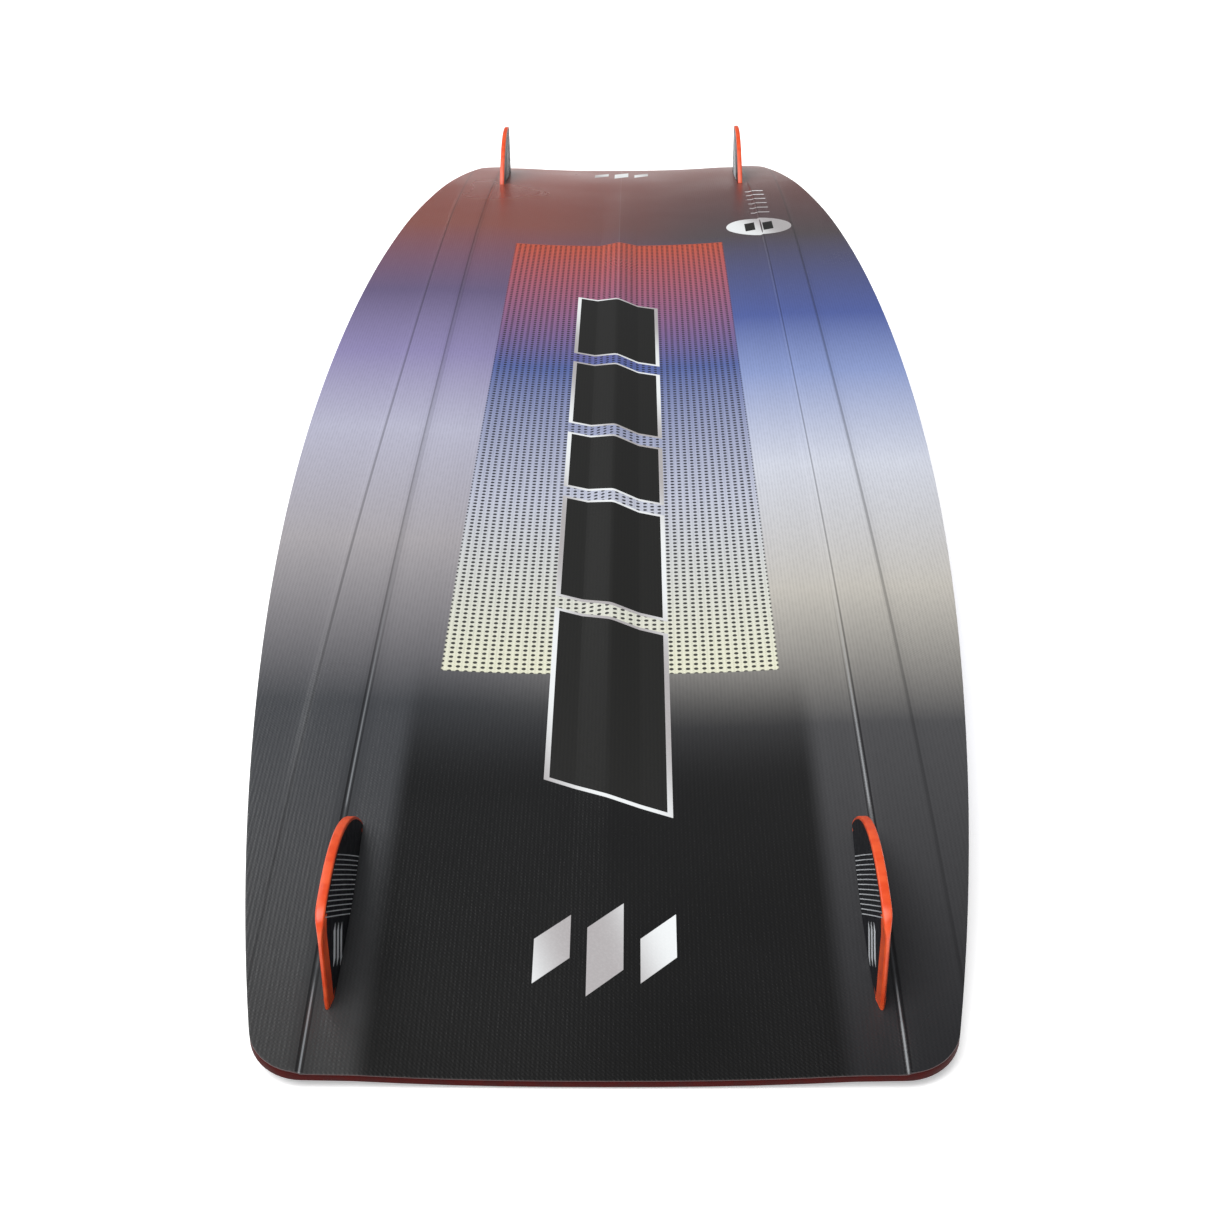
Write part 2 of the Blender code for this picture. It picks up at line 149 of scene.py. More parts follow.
# Hardware
HEAD_RADIUS = 0.0040
HEAD_HEIGHT = 0.0024
SOCKET_RADIUS = 0.0016
SOCKET_DEPTH = 0.0015
FIN_SCREW_RADIUS = 0.00195
HANDLE_SCREW_RADIUS = 0.0022
FIN_WASHER_BORE = 0.00225
HANDLE_WASHER_BORE = 0.0025
WASHER_RADIUS = 0.0065
WASHER_THICK = 0.0010
INSERT_RADIUS = 0.0065
INSERT_BORE = 0.0026
INSERT_LENGTH = 0.0070
HOLE_RADIUS = 0.0068
SCREW_HOLE_RADIUS = HEAD_RADIUS * 0.6
DRILL_LENGTH = 0.02
TURN_STEPS = 40

# Handle
HANDLE_HALF_SPAN = 0.098
HANDLE_THICK = 0.008
HANDLE_FOOT = 0.034
HANDLE_FOOT_THICK = 0.005
HANDLE_RIBS = 11
GRIP_DEPTH = 0.0005
GRIP_REACH = 0.75        # share of the half span that has ribs
HANDLE_STEPS = 48
HANDLE_SIDES = 28

# Printed marks
MARK_LIFT = 0.00006
MARK_SHEET = 0.00005

# Camera, from the middle of the base
CAMERA_PLACE = (0.014, -1.263, 0.490)
CAMERA_YAW = -0.92
CAMERA_PITCH = 28.75
CAMERA_ROLL = -0.57
CAMERA_LENS = 54.53
CAMERA_SHIFT = -0.0025


# ---------------------------------------------------------------- shape of the board

def share(y):
    """Distance from the middle as a share of the half length."""
    return abs(y / HALF_LENGTH)


def side_half_width(y):
    s = share(y)
    return (WIDTH - TAPER * s**2 - TIP_TAPER * s**8) / 2


def side_lean(y):
    s = share(y)
    return math.atan((2 * TAPER * s + 8 * TIP_TAPER * s**7) / LENGTH)


def corner_start():
    """Where the side meets the corner's arc, found by stepping towards it."""
    y = HALF_LENGTH - CORNER_RADIUS
    for _ in range(8):
        y = HALF_LENGTH - CORNER_RADIUS + CORNER_RADIUS * math.sin(side_lean(y))
    return y


ARC_START = corner_start()
ARC_LEAN = side_lean(ARC_START)
CORNER_X = side_half_width(ARC_START) - CORNER_RADIUS * math.cos(ARC_LEAN)
CORNER_Y = HALF_LENGTH - CORNER_RADIUS


def half_width(y, inset=0.0):
    radius = CORNER_RADIUS - inset
    if abs(y) <= CORNER_Y + radius * math.sin(ARC_LEAN):
        return side_half_width(y) - inset / math.cos(side_lean(y))
    rise = min(abs(y) - CORNER_Y, radius)
    return CORNER_X + math.sqrt(max(radius**2 - rise**2, 0))


def edge_distance(x, y):
    """How far a point lies inside the outline."""
    x, y = abs(x), abs(y)
    if y <= ARC_START:
        return (half_width(y) - x) * math.cos(side_lean(y))
    if x <= CORNER_X:
        return HALF_LENGTH - y
    return CORNER_RADIUS - math.hypot(x - CORNER_X, y - CORNER_Y)


def fade(s, end, length=0.15):
    """1 inside end, falling smoothly to 0 over the length before it."""
    t = min(max((end - s) / length, 0), 1)
    return t * t * (3 - 2 * t)


def scoop(x, y):
    depth = SCOOP_MIDDLE + (SCOOP_TIP - SCOOP_MIDDLE) * share(y)
    raw = depth * (1 - (abs(x) / SCOOP_HALF)**SCOOP_POWER)
    return (raw + math.hypot(raw, SCOOP_SOFT)) / 2


def ramp(value, centre, half):
    return min(max((value - centre + half) / (2 * half), 0), 1)


def smooth_ramp(value, centre, half):
    t = ramp(value, centre, half)
    return t * t * (3 - 2 * t)


def plain_height(x, y):
    return CONCAVE * (x / CONCAVE_AT)**2 - ROCKER * share(y)**3


def spine(x, y):
    along = math.hypot(x / SPINE_HALF, SPINE_SOFT) - SPINE_SOFT
    along /= math.hypot(1, SPINE_SOFT) - SPINE_SOFT
    return SPINE_HEIGHT * max(1 - along, 0) * fade(share(y), SPINE_END, SPINE_FADE)


EDGE_AT = WIDTH / 2
RISE = BASE_BOX[1].z - CONCAVE * (EDGE_AT / CONCAVE_AT)**2 - INNER_STEP + OUTER_STEP


def thickness(x, y):
    towards_tip = share(y)**2
    thinner = EDGE_THINNER * (x / CONCAVE_AT)**2 * (1 - towards_tip)
    return THICK_MIDDLE + (THICK_TIP - THICK_MIDDLE) * towards_tip - thinner


def base_height(x, y):
    step_in = INNER_STEP * ramp(abs(x), INNER_STEP_AT, INNER_STEP_HALF)
    step_out = OUTER_STEP * smooth_ramp(abs(x), OUTER_STEP_AT, OUTER_STEP_HALF)
    step_out *= fade(share(y), OUTER_STEP_END)
    rim = RIM_DROP * max(1 - edge_distance(x, y) / RIM_WIDTH, 0) * fade(share(y), RIM_END)
    return RISE + plain_height(x, y) - scoop(x, y) + spine(x, y) + step_in - step_out - rim


def deck_height(x, y):
    follow = (FOLLOW_MIDDLE + (FOLLOW_TIP - FOLLOW_MIDDLE) * share(y)) * scoop(x, y)
    return RISE + plain_height(x, y) - follow - thickness(x, y)


def edge_rounding(x, y, inset=0.0):
    """How much lower a skin's face is close to its outline, which lies in by inset."""
    reach = min(max(1 - (edge_distance(x, y) - inset) / EDGE_ROUND, 0), 1)
    return EDGE_DROP * (1 - math.sqrt(max(1 - reach**2, 0)))


# ---------------------------------------------------------------- helpers

def new_piece(name, mesh, *finishes):
    obj = bpy.data.objects.new(name, mesh)
    bpy.context.scene.collection.objects.link(obj)
    for finish in finishes:
        mesh.materials.append(finish)
    return obj


def mesh_from(shape, name):
    mesh = bpy.data.meshes.new(name)
    shape.to_mesh(mesh)
    shape.free()
    return mesh


def shade(obj, angle=35):
    obj.data.shade_smooth()
    obj.data.set_sharp_from_angle(angle=math.radians(angle))


def thin_sheet(name, across, along, place, under, finish, edge_finish=None):
    """A closed sheet on a grid. place(a, b) is a point of its face; under(point) lies below it."""
    shape = bmesh.new()
    face_grid = []
    back_grid = []
    for b in along:
        face_row = [Vector(place(a, b)) for a in across(b)]
        face_grid.append([shape.verts.new(point) for point in face_row])
        back_grid.append([shape.verts.new(under(point)) for point in face_row])
    columns = len(face_grid[0])
    rows = len(along)
    for j in range(rows - 1):
        for i in range(columns - 1):
            for grid in (face_grid, back_grid):
                shape.faces.new((grid[j][i], grid[j][i + 1], grid[j + 1][i + 1], grid[j + 1][i]))
    rim = [(0, i) for i in range(columns)]
    rim += [(j, columns - 1) for j in range(1, rows)]
    rim += [(rows - 1, i) for i in range(columns - 2, -1, -1)]
    rim += [(j, 0) for j in range(rows - 2, 0, -1)]
    for (j, i), (l, k) in zip(rim, rim[1:] + rim[:1]):
        wall = shape.faces.new((face_grid[j][i], face_grid[l][k], back_grid[l][k],
                                back_grid[j][i]))
        wall.material_index = 1 if edge_finish else 0
    bmesh.ops.recalc_face_normals(shape, faces=shape.faces)
    finishes = (finish, edge_finish) if edge_finish else (finish,)
    return new_piece(name, mesh_from(shape, name), *finishes)


def turned(name, profile, place, finish):
    """A profile of (radius, height) pairs turned about Z. It closes on itself or on the axis."""
    shape = bmesh.new()
    rings = []
    for radius, z in profile:
        if radius == 0:
            rings.append([shape.verts.new((0, 0, z))] * TURN_STEPS)
            continue
        angles = [2 * math.pi * i / TURN_STEPS for i in range(TURN_STEPS)]
        rings.append([shape.verts.new((radius * math.cos(a), radius * math.sin(a), z))
                      for a in angles])
    if profile[0][0] > 0:
        rings.append(rings[0])
    for low, high in zip(rings, rings[1:]):
        for i in range(TURN_STEPS):
            k = (i + 1) % TURN_STEPS
            corners = (low[i], low[k], high[k], high[i])
            shape.faces.new(list(dict.fromkeys(corners)))
    bmesh.ops.recalc_face_normals(shape, faces=shape.faces)
    obj = new_piece(name, mesh_from(shape, name), finish)
    obj.location = place
    shade(obj)
    return obj


def add(obj, slot, *nodes):
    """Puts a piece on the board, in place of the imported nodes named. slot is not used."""
    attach(obj, "root")
    if nodes:
        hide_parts(*nodes)
    return obj


def centre_of(node):
    low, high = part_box(node)
    return (low + high) / 2


# ---------------------------------------------------------------- material nodes

def linear(colour):
    """A colour written as six hex digits, as linear red, green, blue and 1."""
    parts = [int(colour[i:i + 2], 16) / 255 for i in (0, 2, 4)]
    return (*[p / 12.92 if p <= 0.04045 else ((p + 0.055) / 1.055)**2.4 for p in parts], 1)


def new_material(name, roughness, metallic=0):
    made = bpy.data.materials.new(name)
    made.use_nodes = True
    tree = made.node_tree
    shader = tree.nodes["Principled BSDF"]
    shader.inputs["Roughness"].default_value = roughness
    shader.inputs["Metallic"].default_value = metallic
    return made, tree, shader


def feed(tree, socket, value):
    """Links a socket or sets a plain value."""
    if isinstance(value, bpy.types.NodeSocket):
        tree.links.new(value, socket)
    else:
        socket.default_value = value


def calc(tree, operation, first, second=0.0):
    node = tree.nodes.new("ShaderNodeMath")
    node.operation = operation
    feed(tree, node.inputs[0], first)
    feed(tree, node.inputs[1], second)
    return node.outputs[0]


def span(tree, value, low, high, start=0.0, end=1.0, smooth=True):
    """start where value is low, end where it is high, and between them in between."""
    node = tree.nodes.new("ShaderNodeMapRange")
    node.interpolation_type = "SMOOTHSTEP" if smooth else "LINEAR"
    feed(tree, node.inputs["Value"], value)
    feed(tree, node.inputs["From Min"], low)
    feed(tree, node.inputs["From Max"], high)
    node.inputs["To Min"].default_value = start
    node.inputs["To Max"].default_value = end
    return node.outputs["Result"]


def blend_colours(tree, factor, first, second):
    node = tree.nodes.new("ShaderNodeMix")
    node.data_type = "RGBA"
    feed(tree, node.inputs["Factor"], factor)
    feed(tree, node.inputs[6], first)
    feed(tree, node.inputs[7], second)
    return node.outputs[2]


def gradient(tree, value, stops):
    """Colours at given values of a coordinate, as (value, hex) pairs in rising order."""
    first, last = stops[0][0], stops[-1][0]
    factor = span(tree, value, first, last, smooth=False)
    node = tree.nodes.new("ShaderNodeValToRGB")
    for place, colour in stops[1:-1]:
        node.color_ramp.elements.new((place - first) / (last - first))
    for element, (place, colour) in zip(node.color_ramp.elements, stops):
        element.position = (place - first) / (last - first)
        element.color = linear(colour)
    feed(tree, node.inputs[0], factor)
    return node.outputs[0]


def place_coordinates(tree):
    """The X and Y of the surface point, in metres, and its whole vector."""
    source = tree.nodes.new("ShaderNodeTexCoord").outputs["Object"]
    parts = tree.nodes.new("ShaderNodeSeparateXYZ")
    tree.links.new(source, parts.inputs[0])
    return parts.outputs[0], parts.outputs[1], source


def noise(tree, vector, scale, detail=3.0, stretch=(1, 1, 1)):
    mapping = tree.nodes.new("ShaderNodeMapping")
    mapping.inputs["Scale"].default_value = stretch
    tree.links.new(vector, mapping.inputs["Vector"])
    node = tree.nodes.new("ShaderNodeTexNoise")
    node.inputs["Scale"].default_value = scale
    node.inputs["Detail"].default_value = detail
    tree.links.new(mapping.outputs[0], node.inputs["Vector"])
    return node.outputs[0]


def relief(tree, shader, height, depth):
    """Bumps of the given depth in metres."""
    node = tree.nodes.new("ShaderNodeBump")
    node.inputs["Strength"].default_value = 1
    node.inputs["Distance"].default_value = depth
    feed(tree, node.inputs["Height"], height)
    tree.links.new(node.outputs[0], shader.inputs["Normal"])


def weave(tree, x, y, pitch):
    """Threads both ways under the clear coat, as a height between 0 and 1."""
    lengthwise = calc(tree, "SINE", calc(tree, "MULTIPLY", x, 2 * math.pi / pitch))
    crosswise = calc(tree, "SINE", calc(tree, "MULTIPLY", y, 2 * math.pi / pitch))
    product = calc(tree, "MULTIPLY", lengthwise, crosswise)
    both = calc(tree, "ADD", calc(tree, "MULTIPLY", lengthwise, 0.35),
                calc(tree, "MULTIPLY", product, 0.45))
    return calc(tree, "ADD", calc(tree, "MULTIPLY", both, 0.5), 0.5)


# ---------------------------------------------------------------- printed base

# Colours of the background along Y, on either side of the board
GROUND_LEFT = [
    (-0.69, "383838"), (-0.45, "424448"), (-0.28, "a8a4a8"), (-0.12, "b8b8cc"),
    (0.02, "9088b4"), (0.16, "685c80"), (0.36, "885048"), (0.69, "842c14"),
]
GROUND_RIGHT = [
    (-0.69, "242426"), (-0.47, "4c4c4e"), (-0.34, "c0bcb4"), (-0.18, "d0d4e0"),
    (-0.02, "8c9ccc"), (0.10, "5060a0"), (0.32, "50484c"), (0.69, "702810"),
]
GROUND_BLEND = 0.10      # |x| beyond which one side's colours show alone
NEAR_PAINTED_SHADE = 0.85        # painted shade: how much darker the near end is between the scoop's edges
NEAR_PAINTED_SHADE_EDGE = (0.096, 0.108)    # |x| over which that painted shade ends
NEAR_PAINTED_SHADE_END = (-0.52, -0.40)     # and Y
PANEL_HALF = 0.0900      # a plain straight panel of even dots
PANEL_ENDS = (-0.42, 0.30)
PANEL_SOFT = 0.0006
PANEL_FADE = [
    (-0.42, "e4e4cc"), (-0.22, "c0c4d4"), (0.00, "5868a4"), (0.30, "c8583c"),
]
DOT_PITCH = 0.0044
DOT_RADIUS = 0.0012
DOT_SOFT = 0.00015
DOT_STRENGTH = 0.94
WEAVE_PITCH = 0.00197
THREAD_SHADE = 0.20
BASE_RELIEF = 0.00011
BASE_GLOSS = 0.35
CREASE_FADE = (-0.55, -0.30)        # Y over which a painted crease line takes on its usual strength
BESIDE_FINS = (-0.655, -0.635)      # Y over which the crease lines begin to run beside a fin, where the painted highlight is dimmed as painted fin shadow
PAST_FINS = (-0.540, -0.525)        # and cease to
CREASE_SHADE_AND_HIGHLIGHTS = (    # painted shade (dark) and painted highlight (light) lines along the channels' edges and the spine crest: |x|, half width, strength, strength at the near tip, share beside the fins (painted fin shadow), colour
    (0.1248, 0.0005, 0.12, 0.55, 1.0, "0a0a0c"),
    (0.1273, 0.0007, 0.42, 0.75, 1.0, "0a0a0c"),
    (0.1260, 0.0005, 0.05, 0.45, 0.2, "b4b8bc"),
    (0.1545, 0.0012, 0.40, 0.30, 1.0, "0a0a0c"),
    (0.0, 0.0006, 0.08, 0.0, 1.0, "c0c4c8"),
)


def printed_dots(tree, x, y):
    """1 on the dark dots of an even square grid."""
    offsets = []
    for coordinate in (x, y):
        cell = calc(tree, "FRACT", calc(tree, "DIVIDE", coordinate, DOT_PITCH))
        offsets.append(calc(tree, "MULTIPLY", calc(tree, "SUBTRACT", cell, 0.5), DOT_PITCH))
    squares = [calc(tree, "POWER", calc(tree, "ABSOLUTE", offset), 2.0) for offset in offsets]
    distance = calc(tree, "SQRT", calc(tree, "ADD", *squares))
    inside = calc(tree, "SUBTRACT", DOT_RADIUS, distance)
    return span(tree, inside, -DOT_SOFT, DOT_SOFT)


def base_print():
    """The fade, the panel of dots, the weave, painted shade at the near end, and painted shade and
    highlight lines along the channels' edges and the spine.
    """
    made, tree, shader = new_material("base print", 0.30)
    x, y, where = place_coordinates(tree)
    ground = blend_colours(tree, span(tree, x, -GROUND_BLEND, GROUND_BLEND),
                           gradient(tree, y, GROUND_LEFT), gradient(tree, y, GROUND_RIGHT))
    panel = gradient(tree, y, PANEL_FADE)
    dots = calc(tree, "MULTIPLY", printed_dots(tree, x, y), DOT_STRENGTH)
    panel = blend_colours(tree, dots, panel, linear("1a1a20"))
    across = calc(tree, "ABSOLUTE", x)
    inside = span(tree, across, PANEL_HALF + PANEL_SOFT, PANEL_HALF - PANEL_SOFT)
    near_end, far_end = PANEL_ENDS
    inside = calc(tree, "MULTIPLY", inside,
                  span(tree, y, near_end - PANEL_SOFT, near_end + PANEL_SOFT))
    inside = calc(tree, "MULTIPLY", inside,
                  span(tree, y, far_end + PANEL_SOFT, far_end - PANEL_SOFT))
    # painted shade: the near end's middle, between the scoop's edges, is darkened towards
    # near-black
    centre = span(tree, across, *NEAR_PAINTED_SHADE_EDGE, 1.0, 0.0)
    near = span(tree, y, *NEAR_PAINTED_SHADE_END, NEAR_PAINTED_SHADE, 0.0)
    ground = blend_colours(tree, calc(tree, "MULTIPLY", centre, near), ground, linear("070706"))
    colour = blend_colours(tree, inside, ground, panel)
    cloth = weave(tree, x, y, WEAVE_PITCH)
    threads = span(tree, cloth, 0.2, 0.8, THREAD_SHADE, 0.0)
    uneven = span(tree, noise(tree, where, 500.0, 2.0, (1, 0.4, 1)), 0.35, 0.65, 0.6, 1.0)
    threads = calc(tree, "MULTIPLY", threads, uneven)
    colour = blend_colours(tree, threads, colour, linear("0c0c0f"))
    beside = calc(tree, "MULTIPLY", span(tree, y, *BESIDE_FINS),
                  span(tree, y, *PAST_FINS, 1.0, 0.0))
    # painted shade and highlight lines; beside the fins the painted highlight is dimmed as painted
    # fin shadow
    for place, half, usual, near_tip, share_in_fin_shadow, tint in CREASE_SHADE_AND_HIGHLIGHTS:
        line = span(tree, calc(tree, "ABSOLUTE", calc(tree, "SUBTRACT", across, place)),
                    half * 0.4, half, 1.0, 0.0)
        strength = span(tree, y, *CREASE_FADE, near_tip, usual)
        strength = calc(tree, "MULTIPLY", strength, span(tree, beside, 0.0, 1.0, 1.0, share_in_fin_shadow))
        colour = blend_colours(tree, calc(tree, "MULTIPLY", line, strength), colour, linear(tint))
    feed(tree, shader.inputs["Base Color"], colour)
    rough = span(tree, noise(tree, where, 9.0, 2.0), 0.3, 0.7, 0.27, 0.33)
    feed(tree, shader.inputs["Roughness"], rough)
    shader.inputs["Specular IOR Level"].default_value = BASE_GLOSS
    relief(tree, shader, calc(tree, "MULTIPLY", cloth, uneven), BASE_RELIEF)
    return made


# Colours of the deck along a slanted line
DECK_FADE = [
    (-0.72, "26262a"), (-0.40, "34343a"), (-0.15, "4a5484"), (0.05, "3a3f66"),
    (0.30, "4c383c"), (0.55, "7c3c2e"), (0.72, "3a2a2a"),
]
DECK_SLANT = 1.03
DECK_RELIEF = 0.00003


def deck_print():
    made, tree, shader = new_material("deck print", 0.45)
    x, y, where = place_coordinates(tree)
    slanted = calc(tree, "ADD", y, calc(tree, "MULTIPLY", x, DECK_SLANT))
    colour = gradient(tree, slanted, DECK_FADE)
    cloth = weave(tree, x, y, WEAVE_PITCH)
    mottled = span(tree, noise(tree, where, 60.0, 5.0), 0.3, 0.7, 0.0, 0.08)
    colour = blend_colours(tree, mottled, colour, linear("9a98a0"))
    feed(tree, shader.inputs["Base Color"], colour)
    rough = span(tree, noise(tree, where, 25.0, 4.0), 0.3, 0.7, 0.38, 0.52)
    feed(tree, shader.inputs["Roughness"], rough)
    relief(tree, shader, cloth, DECK_RELIEF)
    return made


# ---------------------------------------------------------------- other materials

def mottled_material(name, colour, other, scale, roughness, depth, metallic=0.0,
                     stretch=(1, 1, 1), gloss=0.5):
    """Two close colours mixed by fine noise, with roughness and bumps from the same noise."""
    made, tree, shader = new_material(name, roughness, metallic)
    where = place_coordinates(tree)[2]
    grain = noise(tree, where, scale, 4.0, stretch)
    amount = span(tree, grain, 0.35, 0.65)
    feed(tree, shader.inputs["Base Color"],
         blend_colours(tree, amount, linear(colour), linear(other)))
    feed(tree, shader.inputs["Roughness"],
         span(tree, grain, 0.3, 0.7, roughness - 0.06, roughness + 0.08))
    shader.inputs["Specular IOR Level"].default_value = gloss
    relief(tree, shader, grain, depth)
    return made


def glass_cloth():
    made, tree, shader = new_material("glass laminate", 0.3)
    x, y = place_coordinates(tree)[:2]
    cloth = weave(tree, x, y, WEAVE_PITCH)
    feed(tree, shader.inputs["Base Color"],
         blend_colours(tree, cloth, linear("b4c0a8"), linear("ccd2c2")))
    relief(tree, shader, cloth, 0.00004)
    return made


def wood_strips():
    made, tree, shader = new_material("paulownia core", 0.6)
    x, _, where = place_coordinates(tree)
    strip = calc(tree, "FLOOR", calc(tree, "DIVIDE", x, 0.02))
    tone = calc(tree, "FRACT", calc(tree, "MULTIPLY", calc(tree, "SINE",
                calc(tree, "MULTIPLY", strip, 12.9)), 43.7))
    grain = noise(tree, where, 90.0, 6.0, (1, 0.06, 1))
    colour = blend_colours(tree, tone, linear("c8a878"), linear("a8824e"))
    colour = blend_colours(tree, span(tree, grain, 0.4, 0.7, 0.0, 0.5), colour,
                           linear("86602f"))
    feed(tree, shader.inputs["Base Color"], colour)
    relief(tree, shader, grain, 0.0001)
    return made


def silver_ink():
    """Silver print, with a painted sheen in bands from light to grey across the board."""
    made, tree, shader = new_material("silver ink", 0.40)
    x, y, where = place_coordinates(tree)
    sweep = calc(tree, "ADD", y, calc(tree, "MULTIPLY", x, 3.0))
    # painted sheen: the silver's lightness rises and falls in bands across the board
    painted_sheen = span(tree, calc(tree, "SINE", calc(tree, "MULTIPLY", sweep, 22.0)), -1.0, 1.0)
    colour = blend_colours(tree, painted_sheen, linear("a9a5a6"), linear("e6e9ea"))
    fleck = span(tree, noise(tree, where, 900.0, 2.0), 0.45, 0.65, 0.0, 0.04)
    colour = blend_colours(tree, fleck, colour, linear("ffffff"))
    feed(tree, shader.inputs["Base Color"], colour)
    relief(tree, shader, weave(tree, x, y, WEAVE_PITCH), 0.00002)
    return made


def black_ink():
    made, tree, shader = new_material("black ink", 0.42)
    x, y = place_coordinates(tree)[:2]
    cloth = weave(tree, x, y, WEAVE_PITCH)
    colour = blend_colours(tree, cloth, linear("10100f"), linear("191917"))
    feed(tree, shader.inputs["Base Color"], colour)
    relief(tree, shader, cloth, 0.00003)
    return made


def stripe_ink():
    """Silver that darkens away from the fin's foot, by a value kept with each stripe's points."""
    made, tree, shader = new_material("stripe ink", 0.45)
    source = tree.nodes.new("ShaderNodeAttribute")
    source.attribute_name = "shade"
    feed(tree, shader.inputs["Base Color"],
         blend_colours(tree, source.outputs["Fac"], linear("5a5e66"), linear("eef2f6")))
    return made


def floor_material():
    made, tree, shader = new_material("pale floor", 0.9)
    where = place_coordinates(tree)[2]
    tone = span(tree, noise(tree, where, 3.0, 2.0), 0.3, 0.7)
    feed(tree, shader.inputs["Base Color"],
         blend_colours(tree, tone, linear("fafafa"), linear("ffffff")))
    shader.inputs["Specular IOR Level"].default_value = 0.0
    shader.inputs["Emission Color"].default_value = (1, 1, 1, 1)
    shader.inputs["Emission Strength"].default_value = FLOOR_GLOW
    return made


BASE_PRINT = base_print()
DECK_PRINT = deck_print()
FILM_EDGE = mottled_material("film edge", "3a1616", "4a2020", 300.0, 0.4, 0.00001)
RAIL = mottled_material("maroon rail", "3a0503", "440805", 180.0, 0.6, 0.00004,
                        stretch=(1, 0.15, 1), gloss=0.12)
ORANGE = mottled_material("orange moulding", "df4a20", "ea5a2c", 160.0, 0.36, 0.00003)
FIN_FACE = mottled_material("fin face", "111218", "191a20", 220.0, 0.50, 0.00002, gloss=0.25)
STEEL = mottled_material("stainless steel", "b4b4b6", "cfcfd2", 700.0, 0.26, 0.00001, 1.0)
BRASS = mottled_material("insert brass", "b99a5c", "cdb277", 500.0, 0.32, 0.00001, 1.0)
RUBBER = mottled_material("handle rubber", "17171a", "222226", 420.0, 0.62, 0.00008)
GLASS = glass_cloth()
WOOD = wood_strips()
SILVER = silver_ink()
BLACK = black_ink()
STRIPE = stripe_ink()


# ---------------------------------------------------------------- skins and rails

# |x| of the columns of the skins' grids; close pairs stand either side of each crease
SPINE_COLUMNS = (0.0008, 0.002, 0.005, 0.009, 0.013, 0.0157, 0.0163)
SCOOP_COLUMNS = (0.020, 0.027, 0.036, 0.047, 0.058, 0.069, 0.079, 0.088, 0.095, 0.099,
                 0.102, 0.104, 0.107, 0.113, 0.119)
STEP_COLUMNS = (0.1250, 0.1254, 0.1266, 0.1270, 0.133, 0.141, 0.149, 0.153, 0.1545, 0.156,
                0.1575, 0.159, 0.166, 0.174, 0.182)
FIXED_COLUMNS = SPINE_COLUMNS + SCOOP_COLUMNS + STEP_COLUMNS
CROWD = 0.00015          # least gap between columns where the outline draws in
RIM_LEAST = 0.0028       # least width of the outermost columns
SIDE_ROWS = 46
CORNER_CELLS = 12
TIP_CELLS = 6


def skin_columns(y, inset=0.0):
    edge = half_width(y, inset)
    rim = max(RIM_WIDTH * fade(share(y), 0.75, 0.2), RIM_LEAST)
    half = [min(x, edge - rim - CROWD * (len(FIXED_COLUMNS) - k))
            for k, x in enumerate(FIXED_COLUMNS)]
    half += [edge - rim, edge - rim * 0.66, edge - rim * 0.33]
    half += [edge - EDGE_ROUND, edge - EDGE_ROUND * 0.4, edge]
    return [-x for x in reversed(half)] + [0] + half


def skin_rows(inset=0.0):
    radius = CORNER_RADIUS - inset
    side_end = CORNER_Y + radius * math.sin(ARC_LEAN)
    side = [side_end * i / SIDE_ROWS for i in range(SIDE_ROWS + 1)]
    turn = math.pi / 2 - ARC_LEAN
    arc = [CORNER_Y + radius * math.sin(ARC_LEAN + turn * i / CORNER_CELLS)
           for i in range(1, CORNER_CELLS - 1)]
    end = HALF_LENGTH - inset
    tip = [end - EDGE_ROUND, end - EDGE_ROUND * 0.4, end]
    half = side + arc + tip
    return [-y for y in reversed(half[1:])] + half


def build_skins():
    def base_place(x, y):
        return x, y, base_height(x, y) - edge_rounding(x, y)

    def base_under(point):
        return point.x, point.y, base_height(point.x, point.y) - SHEET

    def deck_place(x, y):
        return x, y, deck_height(x, y) + DECK_LIFT + edge_rounding(x, y, DECK_INSET)

    def deck_columns(y):
        return skin_columns(y, DECK_INSET)

    def deck_under(point):
        return point.x, point.y, deck_height(point.x, point.y) + SHEET

    base = thin_sheet("base_skin", skin_columns, skin_rows(), base_place, base_under,
                      BASE_PRINT, FILM_EDGE)
    deck = thin_sheet("deck_skin", deck_columns, skin_rows(DECK_INSET), deck_place, deck_under,
                      DECK_PRINT, FILM_EDGE)
    drill(deck)
    for skin in (base, deck):
        shade(skin, 50)
    add(base, "printed_sheet", "base_sheet")
    add(deck, "printed_sheet", "top_sheet")


def drill(deck):
    """Cuts the deck skin's holes for the inserts and the fin screws."""
    nodes = [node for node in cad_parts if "insert" in node]
    places = [(centre_of(node), HOLE_RADIUS) for node in nodes]
    screws = [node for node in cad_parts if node.startswith("fin") and "screw" in node]
    places += [(centre_of(node), SCREW_HOLE_RADIUS) for node in screws]
    shape = bmesh.new()
    for centre, radius in places:
        bmesh.ops.create_cone(shape, cap_ends=True, segments=32, radius1=radius, radius2=radius,
                              depth=DRILL_LENGTH, matrix=Matrix.Translation(centre))
    drills = new_piece("drills", mesh_from(shape, "drills"))
    cut = deck.modifiers.new("Holes", "BOOLEAN")
    cut.operation = "DIFFERENCE"
    cut.solver = "EXACT"
    cut.object = drills
    bpy.context.view_layer.update()
    evaluated = deck.evaluated_get(bpy.context.evaluated_depsgraph_get())
    drilled = bpy.data.meshes.new_from_object(evaluated)
    deck.modifiers.clear()
    deck.data = drilled
    bpy.data.objects.remove(drills, do_unlink=True)


